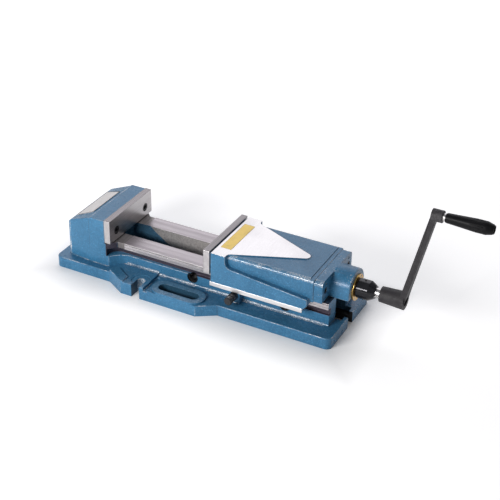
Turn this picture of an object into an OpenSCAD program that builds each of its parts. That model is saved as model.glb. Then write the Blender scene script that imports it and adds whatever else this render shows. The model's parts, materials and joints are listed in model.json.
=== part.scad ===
// Machine vise with a pinned anchor, a pressure-boosting screw and a removable crank.
// Units are millimetres. +X runs along the bed toward the crank, +Z is up.
// X = 0 is the gripping face of the fixed jaw, Y = 0 the middle plane, Z = 0 the underside.

/* [Jaws] */
// width of both jaws and their plates
jaw_w = 160; // [120:1:200]
// thickness of a hardened jaw plate
plate_t = 14; // [10:0.5:20]
// height of a jaw plate
plate_h = 52.3; // [40:0.1:70]
// distance between the two gripping faces as shown
opening = 215; // [120:1:300]
// half distance between the two screws of one plate
plate_screw_y = 54; // [30:1:70]
// height of the plate screws above the underside
plate_screw_z = 100; // [90:1:120]

/* [Bed] */
// rear end of the base flange
base_x0 = -126; // [-160:1:-110]
// front end of the base flange
base_x1 = 496.5; // [400:0.5:600]
// half width of the base flange
base_half = 95.8; // [80:0.1:120]
// thickness of the base flange
flange_t = 24.4; // [15:0.1:35]
// half width over the clamping lugs
lug_half = 120; // [100:1:150]
// level of the raised clamping pads
pad_z = 28.5; // [24.5:0.1:36]
// height of the guide rails
rail_z = 77.7; // [60:0.1:100]
// half width over the guide rails
rail_out = 61.3; // [50:0.1:80]
// half width of the slot between the rails
rail_in = 25; // [18:0.5:40]
// lower edge of the guide rails, where the undercut begins
rail_low = 63.9; // [55:0.1:70]
// floor of the undercut that takes the hold-down plates
undercut_z = 48.5; // [40:0.5:58]
// level of the lower face of the hold-down plates
keeper_z0 = 54; // [48:0.5:62]
// floor of the slot between the walls
slot_floor_z = 14; // [8:0.5:24]
// half width left between the undercuts
undercut_in = 49.5; // [40:0.5:58]
// half width over the walls below the undercuts
wall_out = 56; // [45:0.5:70]
// front end of walls and rails
rail_x1 = 475; // [400:1:560]
// rear face of the fixed jaw casting
fixed_x0 = -108; // [-140:1:-90]
// width of the open clamping slots
slot_w = 18; // [12:1:24]
// width of the closed clamping slots
long_slot_w = 22; // [12:1:26]
// distance of the closed slots from the middle plane
long_slot_y = 96; // [90:0.5:100]
// height to which the fixed jaw's side pads reach down
side_pad_z = 57; // [50:1:75]
// length of rail top left unground beside the fixed jaw
unground_l = 21.5; // [0:0.5:40]
// X position of the open clamping slot
open_slot_x = 82; // [60:1:120]
// X position of the closed clamping slot's middle
long_slot_x = 169; // [150:1:220]
// overall length of the closed clamping slot
long_slot_l = 90; // [40:1:120]
// width of the notch in the front end of the base
notch_w = 22; // [12:1:30]

/* [Anchor pin] */
// X position of the rear pin hole
pin_x0 = 177.5; // [150:0.5:220]
// distance from one pin hole to the next
pin_pitch = 102.3; // [80:0.1:130]
// height of the pin holes
pin_z = 42; // [36:0.5:50]
// radius of the locating pin
pin_r = 8.5; // [5:0.1:12]

/* [Movable jaw] */
// length of the full-width head of the jaw
head_l = 34; // [20:1:60]
// length of the jaw casting
jaw_l = 217; // [150:1:260]
// half width of the body behind the head
body_half = 70; // [60:1:80]
// level of the painted top
body_z = 126.5; // [100:0.5:140]
// level of the ground top
ground_z = 128.5; // [102:0.5:142]
// length of the side skirts
skirt_l = 209; // [140:1:240]
// height of the skirt's upper edge at its head end
skirt_z0 = 104; // [90:1:120]
// height of the skirt's upper edge at its rear end
skirt_z1 = 85.5; // [70:0.5:110]
// radius in the corner of the side pockets
pocket_r = 12; // [4:1:20]
// radius along the upper edges of the body
body_edge_r = 8; // [2:1:12]
// depth of the gap round the seat of the movable plate
plate_gap = 3; // [0:0.5:5]
// length of the hold-down plates
keeper_l = 199; // [120:1:230]

/* [Screw] */
// height of the screw axis
axis_z = 92; // [80:1:110]
// outer radius of the threaded spindle
spindle_r = 15; // [10:0.5:18]
// travel of the jaw for one pin position
travel = 114; // [60:6:150]
// thickness of the end block
block_t = 18; // [12:1:30]
// half width of the end block
block_half = 69; // [55:1:80]
// length of the round boss on the end block
boss_l = 40.5; // [20:0.5:60]
// outer radius of the boss
boss_r = 37; // [28:0.5:45]
// radius of the nut's flange
nut_flange_r = 26.5; // [22:0.5:32]
// radius of the nut's body
nut_r = 19; // [17:0.5:24]
// radius of the drive hub
hub_r = 19.8; // [15:0.1:26]
// length of the drive hub
hub_l = 36; // [20:1:60]

/* [Crank] */
// radius from the screw axis to the grip
crank_throw = 195; // [100:1:260]
// X position of the crank's inner end
crank_x0 = 555; // [540:1:600]
// length of the crank's socket
socket_l = 49; // [30:1:70]
// outward lean of the arm over its height
arm_lean = 49; // [0:1:80]
// length of the rotating grip
grip_l = 88; // [60:1:120]
// radius at the middle of the grip
grip_r = 12.5; // [9:0.5:18]

/* [Hidden] */
e = 0.02;
gap = 0.05;
far = 400;
half_w = jaw_w / 2;
plate_z0 = rail_z + 0.5;
plate_z1 = plate_z0 + plate_h;
jaw_x0 = opening + plate_t;
head_x1 = jaw_x0 + head_l;
jaw_x1 = jaw_x0 + jaw_l;
block_x1 = jaw_x1 + block_t;
boss_x1 = block_x1 + boss_l;
nut_flange_t = 3.2;
nut_x1 = boss_x1 + nut_flange_t;
hub_x0 = nut_x1 + 0.8;
hub_x1 = hub_x0 + hub_l;
jaw_low = rail_z + gap;
keeper_z1 = rail_low - 0.3;
skirt_low = keeper_z1;
skirt_in = rail_out + 0.3;
pin_x = pin_x0 + pin_pitch;
pin_boss_r = 11.4;
pin_mouth_r = 12;
pin_tip_y = 58;
pin_knob_y = -99;
tunnel_half = 34;
tunnel_z = 118.5;
tunnel_x0 = jaw_x0 + 22;
anchor_half = rail_in - 0.2;
anchor_x0 = 262;
anchor_x1 = 300;
bearing_t = 8;
cyl_x0 = anchor_x1 + bearing_t;
cyl_l = 22;
cyl_x1 = cyl_x0 + cyl_l;
cyl_r = 25;
bore_r = 17;
rod_r = 5;
plate_head_r = 8;
plate_head_h = 10;
plate_shank_r = 5;
plate_shank_l = 24;
plate_head_sink = 0.5;
keeper_screw_y = 71;
block_screw_y = 53.3;
block_screw_z = 101.5;
set_screw_z = 115.5;
nut_screw_pcr = 22.7;
nut_screw_angles = [55, 145, 235, 325];
shaft_r = 9.8;
shaft_core_r = 7.2;
shaft_x1 = 592;
crank_bore_r = 10.2;
eye_x0 = crank_x0 + socket_l + arm_lean - 17;
eye_l = 21;
eye_z = axis_z + crank_throw;
grip_x0 = eye_x0 + eye_l + 5;
grip_x1 = grip_x0 + grip_l;
wall_foot_r = 5;
rim_g = 13;
seat_r = 20;
open_slot_y = 97;
rail_groove_d = 0.8;
rail_groove_z = 74.3;
rail_groove_h = 1;
rail_line_z = 68.2;
rail_line_h = 0.5;
cutter_r = 22;
relief_x0 = -11.5;
unground_dz = 0.7;
unground_dy = 0.7;

// a YZ outline drawn in 2D, extruded along X from x0
module along_x(x0, l) {
  translate([x0, 0, 0])
    rotate([90, 0, 90])
      linear_extrude(height = l)
        children();
}

// an XZ outline drawn in 2D, extruded along Y, centred on Y = 0
module across_y(w) {
  translate([0, w / 2, 0])
    rotate([90, 0, 0])
      linear_extrude(height = w)
        children();
}

// a cylinder along +X from x0, centred on the screw axis
module axle(x0, l, r) {
  translate([x0, 0, axis_z])
    rotate([0, 90, 0])
      cylinder(h = l, r = r);
}

// a ring along +X on the screw axis
module axle_ring(x0, l, r, hole) {
  difference() {
    axle(x0, l, r);
    axle(x0 - 1, l + 2, hole);
  }
}

// the same shape on both sides of the middle plane
module both_sides() {
  children();
  mirror([0, 1, 0])
    children();
}

// a socket head screw pointing down, with the top of its head at the origin
module cap_screw(head_r, head_h, shank_r, shank_l) {
  difference() {
    union() {
      translate([0, 0, -head_h])
        cylinder(h = head_h, r = head_r);
      translate([0, 0, -head_h - shank_l])
        cylinder(h = shank_l + e, r = shank_r);
    }
    translate([0, 0, -head_h * 0.55])
      cylinder(h = head_h, r = head_r * 0.6, $fn = 6);
  }
}

// the hole that a cap screw sits in, open above its head
module cap_hole(head_r, head_h, shank_r, shank_l) {
  translate([0, 0, -head_h])
    cylinder(h = head_h + 1, r = head_r);
  translate([0, 0, -head_h - shank_l - 1])
    cylinder(h = shank_l + 1 + e, r = shank_r);
}

// plan outline of the base flange with its two pairs of lugs
module base_plan() {
  r = 12;
  square_l = base_x1 - base_x0;
  translate([base_x0, -base_half + r])
    square([square_l, 2 * (base_half - r)]);
  translate([base_x0 + r, -base_half])
    square([square_l - 2 * r, 2 * base_half]);
  for (x = [base_x0 + r, base_x1 - r])
    for (y = [-base_half + r, base_half - r])
      translate([x, y])
        circle(r = r);
  polygon([[6, -base_half], [47, -lug_half], [219, -lug_half], [256, -base_half],
    [256, base_half], [219, lug_half], [47, lug_half], [6, base_half]]);
}

// plan outline of the closed slot grown by g
module long_slot(g) {
  r = long_slot_w / 2 + g;
  half_l = (long_slot_l - long_slot_w) / 2;
  translate([long_slot_x - half_l, -r])
    square([2 * half_l, 2 * r]);
  for (s = [-1, 1])
    translate([long_slot_x + s * half_l, 0])
      circle(r = r);
}

// wall and guide rail of one side, as a YZ outline
module rail_outline() {
  polygon([[rail_in, flange_t - 1], [rail_in, rail_z], [rail_out, rail_z],
    [rail_out, rail_low], [undercut_in, rail_low], [undercut_in, undercut_z],
    [wall_out, undercut_z], [wall_out, flange_t - 1]]);
  foot_fillet(flange_t);
}

// fillet between a wall and the level z, as a YZ outline
module foot_fillet(z) {
  difference() {
    translate([wall_out - e, z - 1])
      square([wall_foot_r + e, wall_foot_r + 1]);
    translate([wall_out + wall_foot_r, z + wall_foot_r])
      circle(r = wall_foot_r);
  }
}

// plan of the fixed jaw casting; side is its half width beside the pads
module fixed_plan(side) {
  polygon([[fixed_x0 + 9, -74.6], [-51, -79], [-50, -side], [relief_x0, -side],
    [relief_x0, side], [-50, side], [-51, 79], [fixed_x0 + 9, 74.6]]);
  translate([fixed_x0, -65.6])
    square([20, 131.2]);
  for (s = [-1, 1])
    translate([fixed_x0 + 9, s * 65.6])
      circle(r = 9);
}

// casting behind the fixed jaw plate
module fixed_block() {
  intersection() {
    across_y(jaw_w)
      polygon([[fixed_x0, flange_t - 1], [fixed_x0, 99], [-97, 108.5], [-50, 126.5],
        [-47, 129.5], [-plate_t, 129.5], [-plate_t, rail_z - unground_dz],
        [relief_x0, rail_z - unground_dz], [relief_x0, flange_t - 1]]);
    union() {
      linear_extrude(height = plate_z1)
        fixed_plan(half_w - 1);
      translate([0, 0, side_pad_z])
        linear_extrude(height = plate_z1)
          fixed_plan(half_w);
    }
  }
  // foot that runs out into the walls
  linear_extrude(height = undercut_z)
    polygon([[-50, 1 - half_w], [-6, 1 - half_w], [4, -68], [14, -61], [26, -wall_out],
      [26, wall_out], [14, 61], [4, 68], [-6, half_w - 1], [-50, half_w - 1]]);
  // upper part that runs out into the rails
  translate([0, 0, undercut_z])
    linear_extrude(height = rail_z - unground_dz - undercut_z)
      polygon([[-20, -half_w], [relief_x0, -half_w], [5, -63.5], [5, -rail_in],
        [5, rail_in], [5, 63.5], [relief_x0, half_w], [-20, half_w]]);
}

module bed() {
  color([0.27, 0.5, 0.66])
  difference() {
    union() {
      linear_extrude(height = flange_t)
        base_plan();
      both_sides()
        along_x(-20, rail_x1 + 20)
          rail_outline();
      fixed_block();
      // fillets where the walls stand on the pads
      both_sides()
        along_x(10, 90)
          foot_fillet(pad_z);
      // raised clamping pads
      both_sides()
        linear_extrude(height = pad_z)
          polygon([[6, -base_half], [47, -lug_half], [100, -lug_half],
            [100, -wall_out + 1], [6, -wall_out + 1]]);
      both_sides()
        linear_extrude(height = pad_z + 2)
          polygon([[6, -base_half], [47, -lug_half], [52.6, -lug_half], [52.6, -100],
            [20, -79], [8, -84]]);
      for (s = [-1, 1])
        translate([0, s * long_slot_y, 0])
          linear_extrude(height = pad_z)
            long_slot(rim_g);
      // bosses under the rails that carry the anchor pin
      both_sides()
        translate([pin_x, wall_out + 15, pin_z])
          rotate([90, 0, 0])
            cylinder(h = 16, r = pin_boss_r);
      both_sides()
        translate([pin_x - pin_boss_r, wall_out - 1, flange_t - 1])
          cube([2 * pin_boss_r, 16, pin_z - flange_t + 1]);
    }
    // slot between the walls, starting under the fixed jaw plate
    translate([relief_x0, -rail_in, slot_floor_z])
      cube([far + 100, 2 * rail_in, rail_z]);
    // round-ended start of the undercuts
    both_sides()
      translate([relief_x0 + cutter_r, undercut_in + cutter_r, undercut_z])
        cylinder(h = rail_low - undercut_z, r = cutter_r);
    both_sides()
      translate([relief_x0 + cutter_r, undercut_in, undercut_z])
        cube([40, 2 * cutter_r, rail_low - undercut_z]);
    // unground rail tops and sides beside the fixed jaw
    both_sides()
      translate([relief_x0, rail_in - 1, rail_z - unground_dz])
        cube([unground_l - relief_x0, 60, 1.1]);
    both_sides()
      translate([6, rail_out - unground_dy, rail_low])
        cube([unground_l - 6, 20, plate_z0 - rail_low]);
    // fine grooves along the outer sides of the rails
    both_sides()
      translate([unground_l, rail_out - rail_groove_d, rail_groove_z])
        cube([far + 100, 5, rail_groove_h]);
    both_sides()
      translate([unground_l, rail_out - rail_groove_d / 2, rail_line_z])
        cube([far + 100, 5, rail_line_h]);
    // pin holes through both walls
    for (i = [0, 1, 2])
      translate([pin_x0 + i * pin_pitch, 0, pin_z])
        rotate([90, 0, 0])
          cylinder(h = far, r = pin_r + gap, center = true);
    // countersunk mouths of the free pin holes
    for (i = [0, 2])
      both_sides()
        translate([pin_x0 + i * pin_pitch, wall_out - 3, pin_z])
          rotate([-90, 0, 0])
            cylinder(h = 20, r = pin_mouth_r);
    // clamping slots
    both_sides()
      translate([0, long_slot_y, -1])
        linear_extrude(height = pad_z + 2)
          long_slot(0);
    both_sides()
      translate([open_slot_x, open_slot_y, -1])
        cylinder(h = pad_z + 4, r = slot_w / 2);
    both_sides()
      translate([open_slot_x - slot_w / 2, open_slot_y, -1])
        cube([slot_w, 60, pad_z + 4]);
    // machined seats around the open slots
    both_sides()
      translate([open_slot_x, open_slot_y, pad_z - 1])
        cylinder(h = 5, r = seat_r);
    // grooves between the lugs
    both_sides()
      translate([100, wall_out + 11, flange_t - 3])
        cube([8, 80, 20]);
    // notch in the front end
    translate([rail_x1 - 16, 0, -1])
      cylinder(h = flange_t + 2, r = notch_w / 2);
    translate([rail_x1 - 16, -notch_w / 2, -1])
      cube([60, notch_w, flange_t + 2]);
    // tapped holes for the plate screws
    for (s = [-1, 1])
      translate([0, s * plate_screw_y, plate_screw_z])
        rotate([0, 90, 0])
          cap_hole(plate_head_r + 1, plate_head_h, plate_shank_r + gap, plate_shank_l);
  }
}

// hardened plate with its gripping face at X = 0, facing +X
module jaw_plate() {
  difference() {
    translate([-plate_t, -half_w, plate_z0])
      cube([plate_t, jaw_w, plate_h]);
    for (s = [-1, 1])
      translate([-plate_head_sink, s * plate_screw_y, plate_screw_z])
        rotate([0, 90, 0])
          cap_hole(plate_head_r + 1, plate_head_h, plate_shank_r + gap, plate_shank_l);
  }
}

// the two screws of one plate
module plate_screws() {
  for (s = [-1, 1])
    translate([-plate_head_sink, s * plate_screw_y, plate_screw_z])
      rotate([0, 90, 0])
        cap_screw(plate_head_r, plate_head_h, plate_shank_r, plate_shank_l);
}

// turns a fixed-side shape to face -X at the movable side
module movable_side() {
  translate([opening, 0, 0])
    mirror([1, 0, 0])
      children();
}

module fixed_jaw_plate() {
  color([0.66, 0.64, 0.62])
    jaw_plate();
}

module fixed_plate_screws() {
  color([0.08, 0.08, 0.09])
    plate_screws();
}

module movable_jaw_plate() {
  color([0.66, 0.64, 0.62])
    movable_side()
      jaw_plate();
}

module movable_plate_screws() {
  color([0.08, 0.08, 0.09])
    movable_side()
      plate_screws();
}

module name_plate() {
  color([0.85, 0.83, 0.76])
    translate([-97, 0, 108.5])
      rotate([0, -20.96, 0])
        translate([2, 0, 0])
          linear_extrude(height = 1)
            polygon([[0, -57], [40, -49], [40, 49], [0, 57]]);
}

module anchor_block() {
  color([0.33, 0.33, 0.34])
    difference() {
      union() {
        translate([anchor_x0, -anchor_half, slot_floor_z + 0.3])
          cube([anchor_x1 - anchor_x0, 2 * anchor_half, axis_z - slot_floor_z - 0.3]);
        axle(anchor_x0, anchor_x1 - anchor_x0, anchor_half);
      }
      translate([pin_x, 0, pin_z])
        rotate([90, 0, 0])
          cylinder(h = far, r = pin_r + gap, center = true);
      axle(anchor_x1 - 14, 20, rod_r + 4);
    }
}

module locating_pin() {
  color([0.07, 0.07, 0.08])
    translate([pin_x, pin_tip_y, pin_z])
      rotate([90, 0, 0])
        difference() {
          union() {
            cylinder(h = 3, r1 = pin_r - 2.5, r2 = pin_r);
            translate([0, 0, 3])
              cylinder(h = pin_tip_y - pin_knob_y - 5, r = pin_r);
            translate([0, 0, pin_tip_y - pin_knob_y - 2])
              cylinder(h = 2, r1 = pin_r, r2 = pin_r - 1.5);
          }
          translate([0, 0, pin_tip_y - pin_knob_y - 12])
            rotate_extrude()
              translate([pin_r + 1, 0])
                circle(r = 3);
        }
}

// XZ outline of the pocket above a side skirt
module pocket() {
  run = jaw_x0 + skirt_l - head_x1;
  slope = (skirt_z0 - skirt_z1) / run;
  lean = atan(slope);
  cx = head_x1 + pocket_r;
  cz = skirt_z0 - slope * pocket_r + pocket_r / cos(lean);
  polygon([[head_x1, far], [head_x1, cz], [cx, cz],
    [cx - pocket_r * sin(lean), cz - pocket_r * cos(lean)],
    [head_x1 + run + 50, skirt_z1 - slope * 50], [head_x1 + run + 50, far]]);
  translate([cx, cz])
    circle(r = pocket_r);
}

module movable_jaw() {
  top_x0 = jaw_x0 + plate_gap;
  color([0.27, 0.5, 0.66])
  difference() {
    union() {
      // full-width head, and the seat of the jaw plate
      translate([jaw_x0 + plate_gap, -half_w, jaw_low])
        cube([head_l - plate_gap, jaw_w, ground_z - jaw_low]);
      translate([jaw_x0, -72, jaw_low + 4])
        cube([head_l, 144, body_z - 8 - jaw_low]);
      // narrower body with rounded upper edges
      along_x(head_x1 - e, jaw_l - head_l + e)
        union() {
          translate([-body_half, jaw_low])
            square([2 * body_half, body_z - body_edge_r - jaw_low]);
          translate([-body_half + body_edge_r, body_z - body_edge_r - e])
            square([2 * (body_half - body_edge_r), body_edge_r + e]);
          for (s = [-1, 1])
            translate([s * (body_half - body_edge_r), body_z - body_edge_r])
              circle(r = body_edge_r);
        }
      // ground top, wide at the head and running out to a rounded tip
      translate([0, 0, body_z - 3])
        linear_extrude(height = ground_z - body_z + 3)
          union() {
            polygon([[top_x0, -78], [head_x1 - 5, -78], [head_x1 - 1, -75], [head_x1 + 2, -68],
              [head_x1 + 5, -66], [jaw_x0 + 171, -9], [jaw_x0 + 171, 9], [head_x1 + 5, 66],
              [head_x1 + 2, 68], [head_x1 - 1, 75], [head_x1 - 5, 78], [top_x0, 78]]);
            translate([jaw_x0 + 167, 0])
              circle(r = 9.8);
          }
      // side skirts
      both_sides()
        translate([0, half_w, 0])
          rotate([90, 0, 0])
            linear_extrude(height = half_w - skirt_in)
              difference() {
                polygon([[top_x0, skirt_low], [top_x0, body_z], [jaw_x0 + skirt_l, body_z],
                  [jaw_x0 + skirt_l, skirt_low + 7], [jaw_x0 + skirt_l - 7, skirt_low]]);
                pocket();
              }
    }
    // space for the screw and the anchor
    translate([tunnel_x0, -tunnel_half, 0])
      cube([far, 2 * tunnel_half, tunnel_z]);
    // room for the rails
    translate([jaw_x0 - 1, -skirt_in, 0])
      cube([far, 2 * skirt_in, jaw_low]);
    // step along the rear edge of the top
    translate([jaw_x1 - 9, -far / 2, body_z - 1.4])
      cube([20, far, 20]);
    // tapped holes
    movable_side()
      for (s = [-1, 1])
        translate([-plate_head_sink, s * plate_screw_y, plate_screw_z])
          rotate([0, 90, 0])
            cap_hole(plate_head_r + 1, plate_head_h, plate_shank_r + gap, plate_shank_l);
    keeper_holes(keeper_z0 - 0.1);
    end_block_holes();
  }
}

module top_label() {
  color([0.85, 0.72, 0.18])
    translate([jaw_x0 + 9, -50.5, ground_z])
      cube([23, 101, 0.4]);
}

// positions of the hold-down screws, heads down
module keeper_places(z) {
  for (i = [0, 1, 2])
    both_sides()
      translate([jaw_x0 + 20 + i * 74, keeper_screw_y, z])
        rotate([180, 0, 0])
          children();
}

module keeper_holes(z) {
  keeper_places(z)
    cap_hole(5.5, 5.2, 3 + gap, 20);
}

// hold-down plate under the near rail
module keeper() {
  difference() {
    translate([jaw_x0 + 0.5, -half_w, keeper_z0])
      cube([keeper_l, half_w - undercut_in - 1, keeper_z1 - keeper_z0]);
    keeper_holes(keeper_z0 - 0.1);
  }
}

module hold_down_plate_near() {
  color([0.7, 0.69, 0.67])
    keeper();
}

module hold_down_plate_far() {
  color([0.7, 0.69, 0.67])
    mirror([0, 1, 0])
      keeper();
}

module hold_down_screws() {
  color([0.08, 0.08, 0.09])
    keeper_places(keeper_z0)
      cap_screw(5, 5, 3, 18);
}

// holes for the end block's screws
module end_block_holes() {
  for (s = [-1, 1]) {
    translate([block_x1, s * block_screw_y, block_screw_z])
      rotate([0, 90, 0])
        cap_hole(6.5, 8, 4 + gap, 30);
    translate([block_x1 + 1, s * block_screw_y, set_screw_z])
      rotate([0, -90, 0])
        cylinder(h = 12, r = 2.5 + gap);
  }
}

module end_block() {
  color([0.27, 0.5, 0.66])
  difference() {
    union() {
      along_x(jaw_x1, block_t)
        union() {
          translate([-block_half, jaw_low + 0.8])
            square([2 * block_half, body_z - 11.4 - jaw_low - 0.8]);
          translate([-block_half + 10, body_z - 12])
            square([2 * block_half - 20, 10.6]);
          for (s = [-1, 1])
            translate([s * (block_half - 10), body_z - 11.4])
              circle(r = 10);
        }
      along_x(block_x1 - e, boss_l + e)
        union() {
          intersection() {
            translate([0, axis_z])
              circle(r = boss_r);
            translate([-boss_r, jaw_low + 0.8])
              square([2 * boss_r, 2 * boss_r]);
          }
          translate([-boss_r, jaw_low + 0.8])
            square([2 * boss_r, axis_z - jaw_low - 0.8]);
        }
    }
    axle(jaw_x1 - 1, block_t + boss_l + 2, nut_r + gap);
    nut_screw_places(gap);
    end_block_holes();
  }
}

module end_block_screws() {
  color([0.08, 0.08, 0.09])
    for (s = [-1, 1])
      translate([block_x1 - 1, s * block_screw_y, block_screw_z])
        rotate([0, 90, 0])
          cap_screw(6.4, 7, 4, 28);
}

module end_block_set_screws() {
  color([0.08, 0.08, 0.09])
    for (s = [-1, 1])
      translate([block_x1 - 0.8, s * block_screw_y, set_screw_z])
        rotate([0, -90, 0])
          difference() {
            cylinder(h = 9, r = 2.5);
            translate([0, 0, -1])
              cylinder(h = 3.5, r = 1.3, $fn = 6);
          }
}

// shanks of the nut's four flange screws grown by g
module nut_screw_places(g) {
  for (a = nut_screw_angles)
    translate([boss_x1 - 10, nut_screw_pcr * cos(a), axis_z + nut_screw_pcr * sin(a)])
      rotate([0, 90, 0])
        cylinder(h = 14, r = 1.5 + g);
}

module spindle_nut() {
  color([0.72, 0.55, 0.25])
    difference() {
      union() {
        axle(boss_x1, nut_flange_t, nut_flange_r);
        axle(jaw_x1 + 8, boss_x1 - jaw_x1 - 8 + e, nut_r);
      }
      axle(jaw_x1, far, spindle_r + gap);
      nut_screw_places(gap);
      for (a = nut_screw_angles)
        translate([nut_x1 - 2, nut_screw_pcr * cos(a), axis_z + nut_screw_pcr * sin(a)])
          rotate([0, 90, 0])
            cylinder(h = 5, r = 3 + gap);
    }
}

module nut_flange_screws() {
  color([0.7, 0.7, 0.72])
    for (a = nut_screw_angles)
      translate([nut_x1 - 0.2, nut_screw_pcr * cos(a), axis_z + nut_screw_pcr * sin(a)])
        rotate([0, 90, 0])
          cap_screw(3, 1.8, 1.5, 9);
}

module spindle_tube() {
  color([0.55, 0.55, 0.56])
    difference() {
      axle(cyl_x1, hub_x0 - cyl_x1, spindle_r);
      axle(cyl_x1 - 1, far, rod_r + gap);
      axle(hub_x0 - 70, far, shaft_core_r + gap);
    }
}

module pressure_head() {
  color([0.6, 0.6, 0.61])
    difference() {
      axle(cyl_x0, cyl_l, cyl_r);
      axle(cyl_x0 - 1, cyl_l - 5, bore_r + gap);
      axle(cyl_x0 - 1, far, rod_r + gap);
    }
}

module pressure_piston() {
  color([0.62, 0.62, 0.64])
    difference() {
      union() {
        axle(cyl_x0 + 4, 8, bore_r);
        axle(anchor_x1 - 10, cyl_x0 + 4 - anchor_x1 + 10 + e, rod_r + 3);
      }
      axle_ring(cyl_x0 + 6.5, 3, bore_r + 1, bore_r - 2);
    }
}

module piston_seal() {
  color([0.06, 0.06, 0.06])
    axle_ring(cyl_x0 + 6.6, 2.8, bore_r, bore_r - 2);
}

module primary_piston() {
  color([0.62, 0.62, 0.64])
    axle(cyl_x1 - 4, hub_x0 - 70 - cyl_x1 + 20, rod_r);
}

// two conical washers around the plunger, at the end of the drive shaft
module disc_springs() {
  color([0.4, 0.4, 0.42])
    for (i = [0, 1])
      translate([hub_x0 - 50 + i * 3.4, 0, axis_z])
        rotate([0, 90, 0])
          rotate_extrude()
            polygon([[rod_r + 0.4, 1.4], [shaft_core_r - 0.1, 0], [shaft_core_r - 0.1, 0.9],
              [rod_r + 0.4, 2.3]]);
}

module thrust_bearing() {
  color([0.75, 0.75, 0.77])
    axle_ring(anchor_x1 + 0.3, bearing_t - 0.3, 22, rod_r + 3 + gap);
}

module drive_hub() {
  color([0.05, 0.05, 0.06])
    difference() {
      intersection() {
        translate([hub_x0, 0, axis_z])
          rotate([0, 90, 0])
            rotate([0, 0, 22.5])
              cylinder(h = hub_l, r = hub_r * 1.06, $fn = 8);
        translate([hub_x0, 0, axis_z])
          rotate([0, 90, 0])
            rotate_extrude()
              polygon([[0, 0], [hub_r - 2, 0], [hub_r, 2], [hub_r, hub_l - 12],
                [hub_r - 7, hub_l], [0, hub_l]]);
      }
      axle(hub_x0 - 1, far, shaft_r + 0.2);
      translate([hub_x0 + 14, 0, axis_z])
        cylinder(h = far, r = 2 + gap, center = true);
    }
}

module hub_pin() {
  color([0.5, 0.5, 0.5])
    translate([hub_x0 + 14, 0, axis_z])
      cylinder(h = 2 * hub_r - 5, r = 2, center = true);
}

// cross-section of the six-rib shaft
module six_rib() {
  circle(r = shaft_core_r);
  for (a = [0, 60, 120])
    rotate([0, 0, a])
      intersection() {
        square([2 * shaft_r, 4.6], center = true);
        circle(r = shaft_r);
      }
}

module drive_shaft() {
  color([0.72, 0.72, 0.74])
    difference() {
      union() {
        translate([hub_x0, 0, axis_z])
          rotate([0, 90, 0])
            linear_extrude(height = shaft_x1 - hub_x0)
              six_rib();
        axle(hub_x0 - 40, 40 + e, shaft_core_r);
      }
      translate([hub_x0 + 14, 0, axis_z])
        cylinder(h = far, r = 2 + gap, center = true);
    }
}

module crank() {
  x1 = crank_x0 + socket_l;
  color([0.2, 0.2, 0.21])
  difference() {
    union() {
      // socket, slightly larger toward the arm
      translate([crank_x0, 0, axis_z])
        rotate([0, 90, 0])
          cylinder(h = socket_l, r1 = 15.4, r2 = 18);
      // leaning arm, wider at the socket than at the eye
      intersection() {
        across_y(60)
          polygon([[x1 - 14, axis_z - 12], [x1 - 1, axis_z - 12], [x1 + 5, axis_z + 20],
            [eye_x0 + 12, eye_z + 4], [eye_x0, eye_z + 4]]);
        translate([0, 0, axis_z - 12])
          along_x(crank_x0, 200)
            polygon([[-13, 0], [13, 0], [8.5, crank_throw + 12], [-8.5, crank_throw + 12]]);
      }
      translate([eye_x0, 0, eye_z])
        rotate([0, 90, 0])
          cylinder(h = eye_l, r = 11.5);
    }
    axle(crank_x0 - 1, far, crank_bore_r);
    translate([eye_x0 - 1, 0, eye_z])
      rotate([0, 90, 0])
        cylinder(h = eye_l + 2, r = 5 + gap);
  }
}

// a bright shouldered spindle that carries the grip
module grip_spindle() {
  color([0.78, 0.78, 0.8])
    translate([eye_x0 + 1, 0, eye_z])
      rotate([0, 90, 0])
        union() {
          cylinder(h = eye_l - 1, r = 5);
          translate([0, 0, eye_l - 1])
            cylinder(h = 4.6, r = 7.5);
          cylinder(h = eye_l + 4 + grip_l - 14, r = 4);
        }
}

module grip_sleeve() {
  flute_n = 12;
  color([0.07, 0.07, 0.08])
    translate([grip_x0, 0, eye_z])
      rotate([0, 90, 0])
        difference() {
          rotate_extrude()
            polygon([[4.1, 0], [8.2, 0], [9.2, 1.5], [10.6, 26], [grip_r, 56], [grip_r, 74],
              [grip_r - 3, grip_l - 3], [grip_r - 5, grip_l], [8, grip_l], [8, grip_l - 11],
              [4.1, grip_l - 11]]);
          for (i = [0:flute_n - 1])
            rotate([0, 0, i * 360 / flute_n])
              translate([grip_r + 1.6, 0, 30])
                cylinder(h = 40, r = 2.4);
        }
}

// nut and washer that keep the sleeve on its spindle
module grip_cap() {
  color([0.7, 0.7, 0.72])
    translate([grip_x1 - 10.6, 0, eye_z])
      rotate([0, 90, 0])
        difference() {
          cylinder(h = 6, r = 7);
          translate([0, 0, -1])
            cylinder(h = 4, r = 4 + gap);
        }
}

bed();
fixed_jaw_plate();
fixed_plate_screws();
name_plate();
anchor_block();
locating_pin();
movable_jaw();
movable_jaw_plate();
movable_plate_screws();
top_label();
hold_down_plate_near();
hold_down_plate_far();
hold_down_screws();
end_block();
end_block_screws();
end_block_set_screws();
spindle_nut();
nut_flange_screws();
spindle_tube();
pressure_head();
pressure_piston();
piston_seal();
primary_piston();
disc_springs();
thrust_bearing();
drive_hub();
hub_pin();
drive_shaft();
crank();
grip_spindle();
grip_sleeve();
grip_cap();
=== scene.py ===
import json
import math

import bmesh
import bpy
from mathutils import Matrix, Vector

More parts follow.
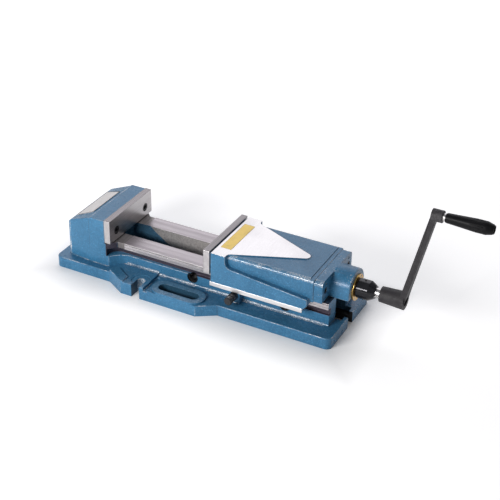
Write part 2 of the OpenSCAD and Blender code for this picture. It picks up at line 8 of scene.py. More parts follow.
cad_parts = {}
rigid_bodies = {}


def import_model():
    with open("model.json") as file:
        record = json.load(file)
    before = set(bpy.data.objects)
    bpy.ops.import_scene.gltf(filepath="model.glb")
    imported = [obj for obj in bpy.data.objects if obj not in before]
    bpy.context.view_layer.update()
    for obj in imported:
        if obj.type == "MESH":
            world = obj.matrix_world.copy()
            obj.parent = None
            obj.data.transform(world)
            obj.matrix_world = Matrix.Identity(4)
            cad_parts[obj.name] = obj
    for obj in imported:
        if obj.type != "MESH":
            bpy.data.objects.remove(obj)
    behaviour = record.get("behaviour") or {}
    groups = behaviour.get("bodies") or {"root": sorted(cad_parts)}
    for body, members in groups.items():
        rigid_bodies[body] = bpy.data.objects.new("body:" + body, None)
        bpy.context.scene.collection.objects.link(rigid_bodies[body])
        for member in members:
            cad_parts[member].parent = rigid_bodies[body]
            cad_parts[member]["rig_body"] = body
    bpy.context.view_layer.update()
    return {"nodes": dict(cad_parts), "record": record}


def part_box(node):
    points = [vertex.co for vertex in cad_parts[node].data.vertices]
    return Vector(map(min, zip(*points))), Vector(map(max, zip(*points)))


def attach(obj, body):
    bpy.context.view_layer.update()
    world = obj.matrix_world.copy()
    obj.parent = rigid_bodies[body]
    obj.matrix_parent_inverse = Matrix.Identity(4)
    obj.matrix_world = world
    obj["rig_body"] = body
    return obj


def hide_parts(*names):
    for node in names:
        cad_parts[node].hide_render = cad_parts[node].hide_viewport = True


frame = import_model()
MM = 0.001
VISE_MIDDLE = (0.25, 0, 0.06)


def corners(node):
    """Lowest and highest corner of a CAD node, in mm."""
    return [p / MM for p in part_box(node)]


# driving places in mm, worked out from the frame
bed_low, bed_high = corners("bed")
plate_low, plate_high = corners("fixed_jaw_plate")
anchor_low, anchor_high = corners("anchor_block")
keeper_low, keeper_high = corners("hold_down_plate_far")
pin_low, pin_high = corners("locating_pin")
jaw_top_z = corners("movable_jaw")[1].z
mounts = {m["name"]: Vector(m["pos_m"]) / MM for m in frame["record"]["mounts"]}

half_w = plate_high.y
block_x = plate_low.x + 2  # just behind the fixed jaw block's face under its plate
rail_z = plate_low.z - 0.5  # ground tops of the rails
rail_out = half_w - 18.7  # outer sides of the rails
rail_low_z = keeper_high.z + 0.3  # undersides of the rails
wall_out = half_w - 24  # outer sides of the walls under them
undercut_z = keeper_low.z - 5.5  # floor of the undercut beside those walls
rail_end_x = bed_high.x - 21.5  # front end of the rails
ground_from_x = plate_high.x + 21.5  # the rails are ground from here to their front end
slot_floor_z = anchor_low.z - 0.3  # floor of the slot between the walls
pin_middle, pin_r = (pin_low + pin_high) / 2, (pin_high.z - pin_low.z) / 2


# ---------------------------------------------------------------- camera, light and floor


def aim(obj, where, target, roll_deg=0.0):
    """Stands obj at where, looking along its own -Z at target, turned by roll_deg about that line."""
    forward = (Vector(target) - Vector(where)).normalized()
    right = forward.cross(Vector((0, 0, 1))).normalized()
    up = right.cross(forward)
    turn = math.radians(roll_deg)
    side = right * math.cos(turn) + up * math.sin(turn)
    top = up * math.cos(turn) - right * math.sin(turn)
    obj.matrix_world = Matrix((side, top, -forward)).transposed().to_4x4()
    obj.location = where


def add_object(name, data):
    obj = bpy.data.objects.new(name, data)
    bpy.context.scene.collection.objects.link(obj)
    return obj


def make_camera():
    data = bpy.data.cameras.new("camera")
    data.lens = 83.84
    data.sensor_width = 36
    data.clip_end = 20
    cam = add_object("camera", data)
    aim(cam, (1.1624, -1.7443, 1.2967), (0.2450, 0.06134, 0.06395), 1.20)
    bpy.context.scene.camera = cam


def area_light(name, where, target, size, power, colour):
    data = bpy.data.lights.new(name, "AREA")
    data.shape = "RECTANGLE"
    data.size, data.size_y = size
    data.energy = power
    data.color = colour
    aim(add_object(name, data), where, target)


def make_studio():
    area_light("key", (-0.4, -2.0, 1.0), VISE_MIDDLE, (1.2, 0.5), 46, (1.0, 0.985, 0.97))
    area_light("back", (-0.5, 1.9, 1.75), VISE_MIDDLE, (3.8, 2.6), 47, (0.975, 0.96, 1.0))
    world = bpy.data.worlds.new("studio")
    bpy.context.scene.world = world
    world.use_nodes = True
    tree = world.node_tree
    background = tree.nodes["Background"]
    background.inputs["Color"].default_value = (0.93, 0.95, 1.0, 1)
    # a dim room, but light enough in the bare metal's reflections
    rays = tree.nodes.new("ShaderNodeLightPath")
    level = tree.nodes.new("ShaderNodeMapRange")
    level.inputs["To Min"].default_value = 0.12
    level.inputs["To Max"].default_value = 0.38
    tree.links.new(rays.outputs["Is Glossy Ray"], level.inputs["Value"])
    tree.links.new(level.outputs["Result"], background.inputs["Strength"])
    bpy.context.scene.view_settings.view_transform = "Standard"


def make_floor():
    mesh = bpy.data.meshes.new("floor")
    bm = bmesh.new()
    bmesh.ops.create_grid(bm, x_segments=1, y_segments=1, size=8)
    bm.to_mesh(mesh)
    bm.free()
    s = Shader("floor", rough=0.7)
    s.set_colour(s.mix(s.noise(3, 2), (0.86, 0.86, 0.865), (0.9, 0.9, 0.905)))
    s.shader.inputs["Emission Color"].default_value = (1, 1, 1, 1)
    # the floor glows a little to stay pale, but not under the base and only weakly close to it: a painted
    # contact shadow
    glow = 0.44
    middle_x = (bed_low.x + bed_high.x) / 2 * MM
    half_x = (bed_high.x - bed_low.x - 22) / 2 * MM
    half_y = (bed_high.y - 30) * MM
    x = s.math("SUBTRACT", s.math("ABSOLUTE", s.math("SUBTRACT", s.axis("X"), middle_x)), half_x)
    y = s.math("SUBTRACT", s.math("ABSOLUTE", s.axis("Y")), half_y)
    away = s.math("MAXIMUM", x, y)
    s.plug(s.span(away, -0.01, 0.09, 0.0, glow), s.shader.inputs["Emission Strength"])
    mesh.materials.append(s.material)
    add_object("floor", mesh)


# ---------------------------------------------------------------- materials


class Shader:
    """One material with a Principled shader, and short names for the nodes that feed it."""

    def __init__(self, name, metal=0.0, rough=0.5, specular=0.5):
        self.material = bpy.data.materials.new(name)
        self.material.use_nodes = True
        self.tree = self.material.node_tree
        self.shader = self.tree.nodes["Principled BSDF"]
        self.shader.inputs["Metallic"].default_value = metal
        self.shader.inputs["Roughness"].default_value = rough
        self.shader.inputs["Specular IOR Level"].default_value = specular
        self.shader.inputs["Coat Roughness"].default_value = 0.12
        self.place = self.node("ShaderNodeTexCoord").outputs["Object"]

    def node(self, kind, **settings):
        n = self.tree.nodes.new(kind)
        for key, value in settings.items():
            setattr(n, key, value)
        return n

    def plug(self, source, socket):
        if isinstance(source, (int, float)):
            socket.default_value = source
        elif isinstance(source, tuple):
            socket.default_value = (*source, 1)
        else:
            self.tree.links.new(source, socket)

    def noise(self, scale, detail, rough=0.55, stretch=None):
        """Noise with scale features to the metre, drawn out along the axes where stretch is below 1."""
        place = self.place
        if stretch:
            mapping = self.node("ShaderNodeMapping")
            mapping.inputs["Scale"].default_value = stretch
            self.plug(place, mapping.inputs["Vector"])
            place = mapping.outputs["Vector"]
        n = self.node("ShaderNodeTexNoise")
        n.inputs["Scale"].default_value = scale
        n.inputs["Detail"].default_value = detail
        n.inputs["Roughness"].default_value = rough
        self.plug(place, n.inputs["Vector"])
        return n.outputs["Fac"]

    def span(self, value, low, high, to_low=0.0, to_high=1.0):
        """value taken from low..high to to_low..to_high, and held there."""
        n = self.node("ShaderNodeMapRange")
        for name, v in (("From Min", low), ("From Max", high), ("To Min", to_low), ("To Max", to_high)):
            n.inputs[name].default_value = v
        self.plug(value, n.inputs["Value"])
        return n.outputs["Result"]

    def math(self, operation, a, b=0.0):
        n = self.node("ShaderNodeMath", operation=operation)
        self.plug(a, n.inputs[0])
        self.plug(b, n.inputs[1])
        return n.outputs[0]

    def mix(self, amount, a, b):
        n = self.node("ShaderNodeMix", data_type="RGBA")
        self.plug(amount, n.inputs["Factor"])
        self.plug(a, n.inputs["A"])
        self.plug(b, n.inputs["B"])
        return n.outputs["Result"]

    def rim(self, name):
        """How far a point is on a rounded outer edge or in an inner corner, as the meshes store it."""
        return self.node("ShaderNodeAttribute", attribute_name=name).outputs["Fac"]

    def axis(self, name):
        n = self.node("ShaderNodeSeparateXYZ")
        self.plug(self.place, n.inputs[0])
        return n.outputs[name]

    def bump(self, height, distance, strength):
        """Adds relief of the given depth in metres on top of any relief before it."""
        n = self.node("ShaderNodeBump")
        n.inputs["Distance"].default_value = distance
        n.inputs["Strength"].default_value = strength
        self.plug(height, n.inputs["Height"])
        normal = self.shader.inputs["Normal"]
        if normal.is_linked:
            self.plug(normal.links[0].from_socket, n.inputs["Normal"])
        self.plug(n.outputs["Normal"], normal)

    def set_colour(self, source):
        self.plug(source, self.shader.inputs["Base Color"])

    def set_rough(self, source):
        self.plug(source, self.shader.inputs["Roughness"])

    def set_metal(self, source):
        self.plug(source, self.shader.inputs["Metallic"])


PAINT = (0.047, 0.169, 0.304)
PAINT_DEEP = (0.032, 0.13, 0.242)
# pale colour of worn paint, and of the painted highlights on rims and in inner corners
PAINT_WORN_AND_HIGHLIGHT = (0.56, 0.58, 0.6)


def shade(colour, factor):
    return tuple(factor * c for c in colour)


def enamel_colour(s, paint=PAINT, deep=PAINT_DEEP, wear=1.0, chips=0.0):
    """Colour of thick blue enamel, and how far it is worn off or painted pale. It is cloudy and speckled,
    darker in the inner corners by a patchy painted shade, and pale in a broken line on the rims, partly worn
    paint and partly painted highlight, and along the middle of the inner corners, where that line is painted
    highlight."""
    cloud = s.noise(16, 3)
    grain = s.noise(340, 3, 0.75)
    colour = s.mix(s.span(cloud, 0.35, 0.68), deep, paint)
    colour = s.mix(s.span(grain, 0.55, 0.7, 0, 0.6), colour, shade(paint, 2.0))
    colour = s.mix(s.span(grain, 0.45, 0.28, 0, 0.5), colour, shade(deep, 0.55))
    inner = s.rim("inner")
    # darker along the inner corners: painted shade, made patchy like dirt
    darkening = s.math("MULTIPLY", s.span(inner, 0.1, 0.6), s.span(s.noise(90, 2), 0.3, 0.7, 0.3, 0.8))
    colour = s.mix(darkening, colour, shade(deep, 0.5))
    # pale broken lines: on the outer rims worn paint and partly painted highlight, along the middle of the
    # inner corners painted highlight
    speckle = s.span(s.noise(480, 3, 0.7), 0.44, 0.6)
    patch = s.math("MULTIPLY", s.span(s.noise(38, 3), 0.42, 0.6, 0.12, 1), speckle)
    line = s.math("MULTIPLY", s.span(inner, 0.6, 0.95), s.span(s.noise(30, 2), 0.42, 0.56))
    where = s.math("MAXIMUM", s.math("MULTIPLY", s.rim("outer"), patch), s.math("MULTIPLY", line, speckle))
    wear_and_highlight = s.math("MULTIPLY", where, wear)
    if chips:
        region = s.span(s.noise(26, 2), 0.56, 0.64)
        flakes = s.math("MULTIPLY", region, s.span(s.noise(330, 2, 0.7), 0.58, 0.66))
        wear_and_highlight = s.math("MAXIMUM", wear_and_highlight, s.math("MULTIPLY", flakes, chips))
    return s.mix(wear_and_highlight, colour, PAINT_WORN_AND_HIGHLIGHT), wear_and_highlight


def enamel(name, rough=0.22, **look):
    """Thick blue enamel with a wavy, pebbled skin, glossier on the rims."""
    s = Shader(name, specular=0.26)
    s.shader.inputs["Specular Tint"].default_value = (0.72, 0.8, 1.0, 1)
    colour, wear_and_highlight = enamel_colour(s, **look)
    s.set_colour(colour)
    base = s.span(s.noise(40, 3), 0.3, 0.7, rough, rough + 0.14)
    s.set_rough(s.math("ADD", base, s.math("MULTIPLY", wear_and_highlight, 0.15)))
    rims = s.math("MAXIMUM", s.rim("outer"), s.rim("inner"))
    shine = s.math("MULTIPLY", rims, s.span(s.noise(200, 2), 0.35, 0.6))
    s.plug(s.span(shine, 0, 1, 0.12, 1), s.shader.inputs["Coat Weight"])
    s.bump(s.noise(60, 2), 0.0008, 0.4)
    s.bump(s.noise(380, 2, 0.6), 0.0006, 0.6)
    return s.material


def ground(name, lines, light, dark, rough=(0.24, 0.4), stain=0.35, rim=0.8):
    """Ground or milled steel with fine lines. lines is the stretch of the pattern: small along the lines.
    rough is taken from its first value on the light lines to its second on the dark ones, and rim is how
    light the edges are: a dark edge shows strongly and a light one weakly."""
    s = Shader(name, metal=1.0)
    fine = s.noise(900, 3, 0.7, lines)
    broad = s.noise(108, 2, 0.6, lines)
    cloud = s.noise(14, 3)
    tone = s.math("ADD", s.math("MULTIPLY", fine, 0.5), s.math("MULTIPLY", broad, 0.5))
    colour = s.mix(s.span(tone, 0.35, 0.65), dark, light)
    colour = s.mix(s.span(cloud, 0.5, 0.75, 0, stain), colour, dark)
    edge = s.math("MULTIPLY", s.rim("outer"), 0.2 if rim > 0.5 else 0.9)
    s.set_colour(s.mix(edge, colour, (rim, rim, rim)))
    s.set_rough(s.span(tone, 0.3, 0.7, rough[1], rough[0]))
    s.bump(fine, 0.00002, 0.6)
    return s.material


def oxide(name, colour=(0.022, 0.022, 0.024), worn=(0.2, 0.19, 0.18), rough=0.36, wear=0.5, grain=0.00005):
    """Blackened steel, browner and brighter where it is worn."""
    s = Shader(name, metal=0.55)
    cloud = s.noise(45, 3)
    base = s.mix(s.span(cloud, 0.35, 0.7), colour, shade(colour, 1.7))
    edge = s.math("MULTIPLY", s.rim("outer"), s.span(s.noise(260, 3), 0.42, 0.6, 0, wear))
    s.set_colour(s.mix(edge, base, worn))
    s.set_rough(s.span(s.noise(300, 2), 0.3, 0.7, rough - 0.06, rough + 0.12))
    s.bump(s.noise(700, 2), grain, 0.6)
    return s.material


def cast_grey(name, light, dark, rough, grain, depth, metal=0.25, specular=0.3):
    """Bare or phosphated casting, or moulded plastic: matt, with a fine rough skin."""
    s = Shader(name, metal=metal, specular=specular)
    colour = s.mix(s.span(s.noise(45, 4, 0.65), 0.38, 0.62), dark, light)
    colour = s.mix(s.span(s.noise(grain, 2, 0.7), 0.62, 0.85, 0, 0.5), colour, shade(light, 1.8))
    edge = s.math("MULTIPLY", s.rim("outer"), s.span(s.noise(200, 3), 0.4, 0.62, 0, 0.4))
    s.set_colour(s.mix(edge, colour, shade(light, 2.4)))
    s.set_rough(s.span(s.noise(120, 3), 0.3, 0.7, rough - 0.08, rough + 0.08))
    s.bump(s.noise(grain, 3, 0.7), depth, 0.7)
    return s.material


def slot_wall(name):
    """Inside of the slot between the walls: milled steel, left in paint outside the sweep of the cutter.
    That stood over the rear pin station and reached down to 6 mm above the slot's floor."""
    cutter_r, blur = 0.208, 0.0005
    cutter_x = (mounts["pin_station_rear"].x - 1.5) * MM
    cutter_z = (slot_floor_z + 6) * MM + cutter_r
    floor_z = (slot_floor_z + 1) * MM
    s = Shader(name)
    # the paint here is a much darker copy of the enamel: painted shade inside the deep slot
    colour, _ = enamel_colour(s, paint=(0.05, 0.15, 0.25), deep=(0.025, 0.07, 0.12))
    x = s.math("SUBTRACT", s.axis("X"), cutter_x)
    z = s.math("SUBTRACT", s.axis("Z"), cutter_z)
    away = s.math("SQRT", s.math("ADD", s.math("MULTIPLY", x, x), s.math("MULTIPLY", z, z)))
    away = s.math("ADD", away, s.span(s.noise(30, 2), 0.3, 0.7, -0.001, 0.001))
    milled = s.span(away, cutter_r + blur, cutter_r - blur)
    floor = s.span(s.axis("Z"), floor_z + blur, floor_z - blur)
    milled = s.math("MULTIPLY", milled, s.math("SUBTRACT", 1.0, floor))
    tone = s.noise(240, 4, 0.75)
    steel = s.mix(s.span(tone, 0.3, 0.7), (0.5, 0.47, 0.465), (0.85, 0.82, 0.8))
    s.set_colour(s.mix(milled, colour, steel))
    s.set_metal(s.math("MULTIPLY", milled, 0.9))
    s.set_rough(s.span(tone, 0.3, 0.7, 0.42, 0.55))
    s.bump(tone, 0.0001, 0.5)
    return s.material


def polished_top(name):
    """Near-white ground face with hardly visible lines across it."""
    s = Shader(name, metal=1.0)
    fine = s.noise(1200, 2, 0.7, (1.0, 0.02, 1.0))
    cloud = s.noise(9, 2)
    colour = s.mix(s.span(fine, 0.3, 0.7), (0.5, 0.487, 0.491), (0.565, 0.555, 0.555))
    s.set_colour(s.mix(s.span(cloud, 0.42, 0.7, 0, 0.8), colour, (0.42, 0.408, 0.412)))
    s.set_rough(s.span(fine, 0.3, 0.7, 0.3, 0.22))
    s.bump(fine, 0.000006, 0.5)
    return s.material


def brass(name):
    """Turned bronze, duller in patches."""
    s = Shader(name, metal=1.0)
    tone = s.noise(300, 3)
    s.set_colour(s.mix(s.span(tone, 0.35, 0.68), (0.46, 0.27, 0.075), (0.72, 0.47, 0.16)))
    s.set_rough(s.span(tone, 0.3, 0.7, 0.24, 0.4))
    s.bump(tone, 0.00003, 0.5)
    return s.material


def plate_print(name, clean, dark, scale, matt=False):
    """A blank printed plate: one colour, with a little dirt and scuffing."""
    s = Shader(name, metal=0.0 if matt else 0.15, rough=0.85, specular=0.05 if matt else 0.5)
    darkening = s.span(s.noise(scale, 4, 0.65), 0.5, 0.78, 0, 0.45)
    fine = s.span(s.noise(900, 2), 0.55, 0.8, 0, 0.25)
    s.set_colour(s.mix(fine, s.mix(darkening, clean, dark), shade(clean, 0.8)))
    if not matt:
        s.set_rough(s.span(s.noise(70, 3), 0.3, 0.7, 0.28, 0.44))
    s.bump(s.noise(260, 3), 0.00002, 0.5)
    return s.material


# ---------------------------------------------------------------- rounding of the CAD shapes


WELD = 2e-5  # points nearer than this, in m, are one
FLAT_DEG = 0.4  # faces that turn by less than this from one to the next are one
SLIVER = 1e-6  # edges shorter than this, in m, are taken out of the rounding
SHARP_DEG = 28  # edges that turn by more than this are rounded
STRAIGHT = 0.86  # two edges run on where the cosine of the turn is above this
BEVEL_WIDTH = 12 * MM  # width of the rounding at weight 1
BEVEL_SHARE = 0.42  # how much of a face's depth one rounding may take
FILLET_TURN = (0.05, 0.5)  # turn in radians between two faces of a fillet


def reach(face, edge):
    """Shortest way across the face from the edge to another of its edges, square to the edge."""
    a, b = (v.co for v in edge.verts)
    along = (b - a).normalized()
    inward = face.normal.cross(along)
    loop = next(l for l in edge.link_loops if l.face == face)
    if loop.vert != edge.verts[0]:
        inward = -inward
    best = 1.0
    others = [e for e in face.edges if e != edge]
    near_ends_and_middle = (0.12, 0.5, 0.88)
    for share in near_ends_and_middle:
        start = a.lerp(b, share)
        for other in others:
            p, q = other.verts[0].co - start, other.verts[1].co - start
            pu, qu = p.dot(along), q.dot(along)
            if (pu > 0) == (qu > 0) or abs(pu - qu) < 1e-12:
                continue
            t = pu / (pu - qu)
            depth = (p + (q - p) * t).dot(inward)
            if 1e-6 < depth < best:
                best = depth
    return best


def chain_of(edges):
    """Groups of sharp edges that run on from one another with hardly a turn."""
    group = {e: i for i, e in enumerate(edges)}
    members = {i: [e] for i, e in enumerate(edges)}
    chosen = set(edges)
    for v in {v for e in edges for v in e.verts}:
        here = [e for e in v.link_edges if e in chosen]
        for i, first in enumerate(here):
            for second in here[i + 1 :]:
                d1 = (first.other_vert(v).co - v.co).normalized()
                d2 = (second.other_vert(v).co - v.co).normalized()
                if d1.dot(d2) < -STRAIGHT and group[first] != group[second]:
                    keep, drop = group[first], group[second]
                    for e in members.pop(drop):
                        group[e] = keep
                        members[keep].append(e)
    return members.values()


def rounded(node, name, materials, zone=None, outer=1.6, inner=2.6, machined=0.4, refine=None):
    """A new piece with the CAD node's shape, its sharp edges rounded as far as the faces beside them allow.
    zone picks each face's material from its middle in mm and its direction. outer and inner are the widths
    in mm of the rounding where both faces are material 0, on convex and on hollow edges, and machined is the
    width on all other edges. refine reworks the mesh first."""
    bm = bmesh.new()
    bm.from_mesh(frame["nodes"][node].data)
    bmesh.ops.remove_doubles(bm, verts=bm.verts, dist=WELD)
    bmesh.ops.dissolve_limit(bm, angle_limit=math.radians(FLAT_DEG), verts=bm.verts, edges=bm.edges)
    if refine:
        refine(bm)
    bm.normal_update()
    if zone:
        for f in bm.faces:
            f.material_index = zone(f.calc_center_median() / MM, f.normal)
    weights = bm.edges.layers.float.new("bevel_weight_edge")
    turn = math.radians(SHARP_DEG)
    sharp = [e for e in bm.edges if len(e.link_faces) == 2 and e.calc_face_angle(0) > turn]
    width = {}
    for e in sharp:
        painted = all(f.material_index == 0 for f in e.link_faces)
        convex = e.calc_face_angle_signed(0) > 0
        wanted = (outer if convex else inner) if painted else machined
        width[e] = min([wanted * MM] + [BEVEL_SHARE * reach(f, e) for f in e.link_faces])
    for chain in chain_of(sharp):
        least = min(width[e] for e in chain)
        for e in chain:
            e[weights] = least / BEVEL_WIDTH
    mesh = bpy.data.meshes.new(name)
    bm.to_mesh(mesh)
    bm.free()
    for m in materials:
        mesh.materials.append(m)
    # the bevel's faces get a slot of their own, so that they can be told from the rest
    tag = len(materials)
    mesh.materials.append(None)
    obj = add_object(name, mesh)
    mod = obj.modifiers.new("edges", "BEVEL")
    mod.limit_method = "WEIGHT"
    mod.width = BEVEL_WIDTH
    mod.segments = 3
    mod.use_clamp_overlap = False
    mod.material = tag
    bpy.context.view_layer.update()
    made = bpy.data.meshes.new_from_object(obj.evaluated_get(bpy.context.evaluated_depsgraph_get()))
    obj.modifiers.clear()
    obj.data = made
    bpy.data.meshes.remove(mesh)
    made.name = name
    store_rims(made, tag)
    made.materials.pop(index=tag)
    settle(obj)
    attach(obj, frame["nodes"][node]["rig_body"])
    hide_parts(node)


def framed(width, depth):
    """A refine step that gives a plate's top face a border of material 1, width mm wide and standing
    depth mm above the field inside it."""
    step = 0.15 * MM

    def refine(bm):
        bm.normal_update()
        top = max(bm.faces, key=lambda f: f.calc_area() * (f.normal.z > 0.3))
        border = bmesh.ops.inset_region(bm, faces=[top], thickness=width * MM, depth=0.0)["faces"]
        for f in border:
            f.material_index = 1
        bmesh.ops.inset_region(bm, faces=[top], thickness=step, depth=-depth * MM)

    return refine


def store_rims(mesh, tag):
    """Stores how far each point is on an outer rim or in an inner corner, as outer and inner: 1 along the
    middle of a rounded edge, less where it is very narrow or upright, and 0 off it. Then each rounding face,
    known by the material slot tag, takes the material of the face beside it."""
    bm = bmesh.new()
    bm.from_mesh(mesh)
    bmesh.ops.dissolve_degenerate(bm, dist=SLIVER, edges=bm.edges)
    outer = bm.verts.layers.float.new("outer")
    inner = bm.verts.layers.float.new("inner")
    bands = {f for f in bm.faces if f.material_index == tag}
    for f in bands:
        # nothing on strips less than about 0.2 mm wide, and all of it from 0.35 mm on
        strip = f.calc_area() / max(e.calc_length() for e in f.edges)
        worth = min(1.0, max(0.0, strip / (0.15 * MM) - 1.3))
        upright = abs(f.normal.z) < 0.15
        if upright:
            worth *= 0.5
        for e in f.edges:
            beside = [g for g in e.link_faces if g not in bands]
            if beside and len(e.link_faces) == 2:
                layer = outer if e.calc_face_angle_signed(0) > 0 else inner
                for v in f.verts:
                    v[layer] = max(v[layer], worth)
    for v in bm.verts:
        if any(f not in bands for f in v.link_faces):
            v[outer] = 0.0
            v[inner] = 0.0
    mark_fillets(bm, bands, outer, inner)
    left = set(bands)
    while left:
        found = {}
        for f in left:
            beside = (g for e in f.edges for g in e.link_faces if g is not f)
            near = [g.material_index for g in beside if g.material_index != tag]
            if near:
                found[f] = max(near)
        if not found:
            for f in left:
                f.material_index = 0
            break
        for f, index in found.items():
            f.material_index = index
        left -= set(found)
    bm.to_mesh(mesh)
    bm.free()


def mark_fillets(bm, bands, outer, inner):
    """Does the same for the fillets that the CAD shape already has: their faces are long narrow strips."""
    least_length, most_width = 6 * MM, 1.35 * MM
    strips = set()
    for f in bm.faces:
        longest = max(e.calc_length() for e in f.edges)
        if f not in bands and longest > least_length and f.calc_area() / longest < most_width:
            strips.add(f)
    for e in {e for f in strips for e in f.edges}:
        inside = len(e.link_faces) == 2 and all(f in strips for f in e.link_faces)
        if e.calc_length() < least_length or not inside:
            continue
        angle = e.calc_face_angle_signed(0)
        if FILLET_TURN[0] < abs(angle) < FILLET_TURN[1]:
            for v in e.verts:
                if all(f in strips or f in bands for f in v.link_faces):
                    v[outer if angle > 0 else inner] = 1.0


def settle(obj):
    """Smooth shading, true to the flat faces."""
    mesh = obj.data
    mesh.polygons.foreach_set("use_smooth", [True] * len(mesh.polygons))
    mesh.set_sharp_from_angle(angle=math.radians(40))
    mod = obj.modifiers.new("normals", "WEIGHTED_NORMAL")
    mod.keep_sharp = True
    mod.weight = 90


# ---------------------------------------------------------------- materials in use

# stretch of a pattern whose lines run along X or along Y
along_x, along_y = (0.02, 1, 1), (1, 0.02, 1)

blue = enamel("enamel_blue")
blue_chipped = enamel("enamel_chipped", chips=0.7)
blue_rubbed = enamel("enamel_rubbed", chips=0.5, paint=(0.085, 0.2, 0.32), deep=(0.05, 0.15, 0.26))
blue_shaded = enamel(
    "enamel_shaded", rough=0.4, wear=0.4, paint=(0.022, 0.07, 0.12), deep=(0.012, 0.045, 0.08)
)

# the rails' tops and sides are one ground steel in two copies: the sides' much lighter, painted light, the
# tops' darker, painted shade; both have dark edges, painted shade over the edge highlights
rail_steel = ground("rail_steel", along_x, (0.315, 0.29, 0.303), (0.22, 0.2, 0.21), rim=0.06)
rail_side_lit = ground("rail_side_lit", along_x, (0.56, 0.53, 0.54), (0.42, 0.39, 0.4), rim=0.1)
rail_unground = ground("rail_unground", along_y, (0.26, 0.245, 0.24), (0.16, 0.15, 0.15), (0.36, 0.5))
# much darker than the other ground steel: painted shade under the rails
undercut = ground("undercut", along_x, (0.12, 0.106, 0.13), (0.065, 0.056, 0.074), (0.36, 0.5))
inside = slot_wall("slot_wall")
underside = ground("underside", along_x, (0.42, 0.4, 0.39), (0.25, 0.24, 0.235), (0.3, 0.48))
plate_steel = ground("plate_steel", along_y, (0.54, 0.52, 0.525), (0.4, 0.38, 0.385), (0.26, 0.38))
# the jaw plates' ground tops: the same steel as their sides, made much darker, painted shade
plate_top_shaded = ground("plate_top_steel", along_y, (0.2, 0.187, 0.191), (0.15, 0.14, 0.144), (0.2, 0.34))
top_steel = polished_top("polished_top")
keeper_steel = ground(
    "keeper_steel", along_x, (0.86, 0.85, 0.85), (0.7, 0.69, 0.69), (0.3, 0.42), stain=0.1
)
bright = ground("bright_steel", along_x, (0.6, 0.585, 0.58), (0.42, 0.41, 0.41), (0.24, 0.36))
inner_steel = ground("inner_steel", along_x, (0.42, 0.41, 0.4), (0.27, 0.26, 0.26), (0.26, 0.42))
bronze = brass("bronze")

black = oxide("black_oxide")
# near-black, darker than bare steel: painted shade in the pin holes
bore = oxide("bore", colour=(0.012, 0.012, 0.013), worn=(0.3, 0.29, 0.28), rough=0.3, wear=0.8)
black_gloss = oxide(
    "black_gloss", colour=(0.012, 0.012, 0.014), worn=(0.16, 0.16, 0.17), rough=0.13, grain=0.000003
)
# near-black matt: painted shade in the slot's floor and front end, the rail grooves and the front notch
pit_shade = cast_grey("pit_shade", (0.014, 0.014, 0.015), (0.008, 0.008, 0.009), 0.6, 300, 0.0002)
crank_skin = cast_grey(
    "crank_skin", (0.041, 0.039, 0.042), (0.025, 0.023, 0.026), 0.6, 420, 0.00022, metal=0.15
)
anchor_skin = cast_grey("anchor_skin", (0.13, 0.13, 0.13), (0.08, 0.08, 0.08), 0.5, 420, 0.0002)
rubber = cast_grey("seal_rubber", (0.02, 0.02, 0.02), (0.012, 0.012, 0.012), 0.7, 500, 0.0001)
grip_plastic = cast_grey(
    "grip_plastic", (0.006, 0.006, 0.007), (0.004, 0.004, 0.005), 0.4, 900, 0.00004, metal=0, specular=0.12
)

white_plate = plate_print("label_white", (0.7, 0.68, 0.67), (0.44, 0.43, 0.44), 45)
plate_border = plate_print("plate_border", (0.03, 0.022, 0.013), (0.012, 0.01, 0.009), 60, matt=True)
yellow_plate = plate_print("label_yellow", (0.8, 0.56, 0.1), (0.42, 0.3, 0.07), 60)
label_border = plate_print("label_border", (0.5, 0.36, 0.08), (0.3, 0.22, 0.06), 60)


# ---------------------------------------------------------------- bed


# the bed's material slots and what fills them; slot 0 is the paint, whose edges get the wider rounding
PAINTED, RAIL_TOP, UNGROUND, UNDERCUT, INSIDE, SHADED, UNDERSIDE, BORE, PIT, RAIL_SIDE, RUBBED = range(11)
BED_MATERIALS = [
    blue,
    rail_steel,
    rail_unground,
    undercut,
    inside,
    blue_shaded,
    underside,
    bore,
    pit_shade,
    rail_side_lit,
    blue_rubbed,
]


def about(middle, half):
    """The range that reaches half to either side of middle."""
    return middle - half, middle + half


# parts of the bed as ranges of x, y and z in mm, with y counted outwards from the middle
ANY = (-1000, 1000)
SLOT = ((block_x, 1000), about(0, anchor_high.y + 0.5), (-1000, rail_z - 0.1))
SHOULDER = (about(plate_low.x - 36.5, 1), (half_w - 1.5, 1000), ANY)
RAIL_TOPS = ((block_x, 1000), ANY, (rail_z - 1, rail_z + 0.3))
RAIL_SIDES = ((block_x + 1, rail_end_x - 0.1), about(0, rail_out + 0.2), (rail_low_z - 0.1, rail_z + 0.3))
RAIL_GROOVE = ((ground_from_x + 0.5, 1000), about(rail_out - 0.65, 0.6), about(rail_z - 2.9, 0.6))
RAIL_LINE = ((ground_from_x + 0.5, 1000), about(rail_out - 0.65, 0.6), about(rail_z - 9.25, 0.35))
UNDER_RAILS = ((block_x, rail_end_x - 0.1), about(0, half_w + 0.5), (undercut_z - 0.1, rail_low_z + 0.1))
PIN_RINGS = (ANY, about(wall_out - 1.8, 1.7), ANY)
NOTCH = ((rail_end_x - 25, 1000), about(0, 11.5), (-1000, 24))

closed, opened = mounts["slot_bolts_far"], mounts["open_slot_far"]
LUG_PADS = (about(closed.x, 64), ANY, about(closed.z, 0.1))
CLOSED_SLOTS = (about(closed.x, 46), about(closed.y, 12), (-1, closed.z - 0.5))
OPEN_SLOTS = (about(opened.x, 9.5), (opened.y, bed_high.y), (-1, closed.z - 0.1))

PIN_HOLES = (mounts["pin_station_rear"].x, pin_middle.x, mounts["pin_station_front"].x)


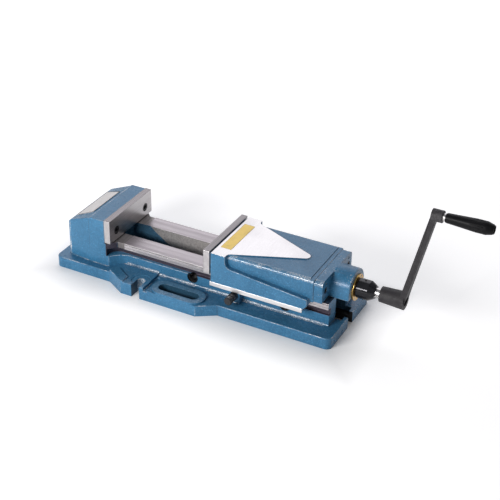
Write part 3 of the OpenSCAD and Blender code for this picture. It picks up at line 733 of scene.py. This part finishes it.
def bed_zone(c, n):
    """Material slot of a bed face from its middle, in mm, and its direction."""
    x, y, z = c.x, abs(c.y), c.z

    def on(ranges):
        return all(low < v < high for v, (low, high) in zip((x, y, z), ranges))

    faces_up = n.z > 0.9
    if z < 0.2:
        return UNDERSIDE
    # the pin holes' bores and a ring round their mouths are near-black: painted shade
    from_pin = min(math.hypot(x - hole, z - pin_middle.z) for hole in PIN_HOLES)
    if abs(n.y) < 0.5 and from_pin < pin_r + 0.5 or on(PIN_RINGS) and from_pin < pin_r + 4:
        return BORE
    # deep in the slot, its floor, front end and the faces turned back are near-black, and its walls dark
    # enamel: painted shade
    if on(SLOT):
        return PIT if x > rail_end_x - 1 or z < slot_floor_z + 0.2 or n.x < -0.9 else INSIDE
    if faces_up and on(LUG_PADS):
        return RUBBED
    if abs(n.z) < 0.5 and on(SHOULDER):
        return SHADED
    # the rail groove and the line below it are near-black: painted shade
    if on(RAIL_GROOVE) or on(RAIL_LINE):
        return PIT
    # the ground tops take the darker copy of the rail steel: painted shade
    if faces_up and on(RAIL_TOPS):
        return RAIL_TOP if x > ground_from_x + 0.1 else UNGROUND
    # the undercut under the rails takes the dark steel: painted shade
    if on(UNDER_RAILS) and (y < wall_out + 0.2 or x < ground_from_x + 5.5):
        return UNDERCUT
    # the ground sides take the lighter copy of the rail steel: painted light
    if on(RAIL_SIDES):
        return RAIL_SIDE if x > ground_from_x + 0.1 else UNGROUND
    if abs(n.z) < 0.3 and (on(CLOSED_SLOTS) or on(OPEN_SLOTS)):
        return SHADED
    # the front notch is near-black: painted shade
    if on(NOTCH):
        return PIT
    return PAINTED


rounded("bed", "bed_casting", BED_MATERIALS, bed_zone)


# ---------------------------------------------------------------- movable jaw, end block and plates


def jaw_zone(c, n):
    """Material slot of a jaw face: 0 paint, 1 the ground top, 2 bare steel where it slides on the rails."""
    if n.z > 0.9 and c.z > jaw_top_z - 0.5:
        return 1
    sole = n.z < -0.9 and c.z < rail_z + 0.3
    skirt = abs(n.y) > 0.9 and abs(c.y) < rail_out + 0.5 and c.z < rail_z + 12.3
    return 2 if sole or skirt else 0


def plate_zone(c, n):
    """Material slot of a jaw plate's face: 1 on its ground upper edge, 0 on the rest."""
    return 1 if n.z > 0.9 else 0


rounded("movable_jaw", "jaw_casting", [blue, top_steel, inner_steel], jaw_zone, inner=3.2)
rounded("end_block", "end_block_casting", [blue_chipped], outer=2.2, inner=3.5)

for node in ("fixed_jaw_plate", "movable_jaw_plate"):
    rounded(node, node + "_piece", [plate_steel, plate_top_shaded], plate_zone, machined=0.7)

for node, face, border, edge, width, depth in (
    ("name_plate", white_plate, plate_border, 0.15, 2.4, 0.3),
    ("top_label", yellow_plate, label_border, 0.05, 1.0, 0.1),
):
    rounded(node, node + "_piece", [face, border], machined=edge, refine=framed(width, depth))

# node: its material, and the width in mm of the rounding on its edges
SIMPLE = {
    "fixed_plate_screws": (black, 0.6),
    "movable_plate_screws": (black, 0.6),
    "anchor_block": (anchor_skin, 1.5),
    "locating_pin": (black, 0.5),
    "hold_down_plate_near": (keeper_steel, 0.5),
    "hold_down_plate_far": (keeper_steel, 0.5),
    "hold_down_screws": (black, 0.4),
    "end_block_screws": (black, 0.5),
    "end_block_set_screws": (black, 0.25),
    "spindle_nut": (bronze, 0.5),
    "nut_flange_screws": (bright, 0.25),
    "spindle_tube": (inner_steel, 0.8),
    "pressure_head": (inner_steel, 1.0),
    "pressure_piston": (inner_steel, 0.6),
    "piston_seal": (rubber, 0.4),
    "primary_piston": (bright, 0.5),
    "disc_springs": (inner_steel, 0.1),
    "thrust_bearing": (bright, 0.6),
    "drive_hub": (black_gloss, 0.7),
    "hub_pin": (bright, 0.3),
    "drive_shaft": (bright, 0.5),
    "crank": (crank_skin, 1.6),
    "grip_spindle": (bright, 0.4),
    "grip_sleeve": (grip_plastic, 0.6),
    "grip_cap": (bright, 0.4),
}
for node, (material, width) in SIMPLE.items():
    rounded(node, node + "_piece", [material], outer=width, inner=width, machined=width)

make_camera()
make_studio()
make_floor()
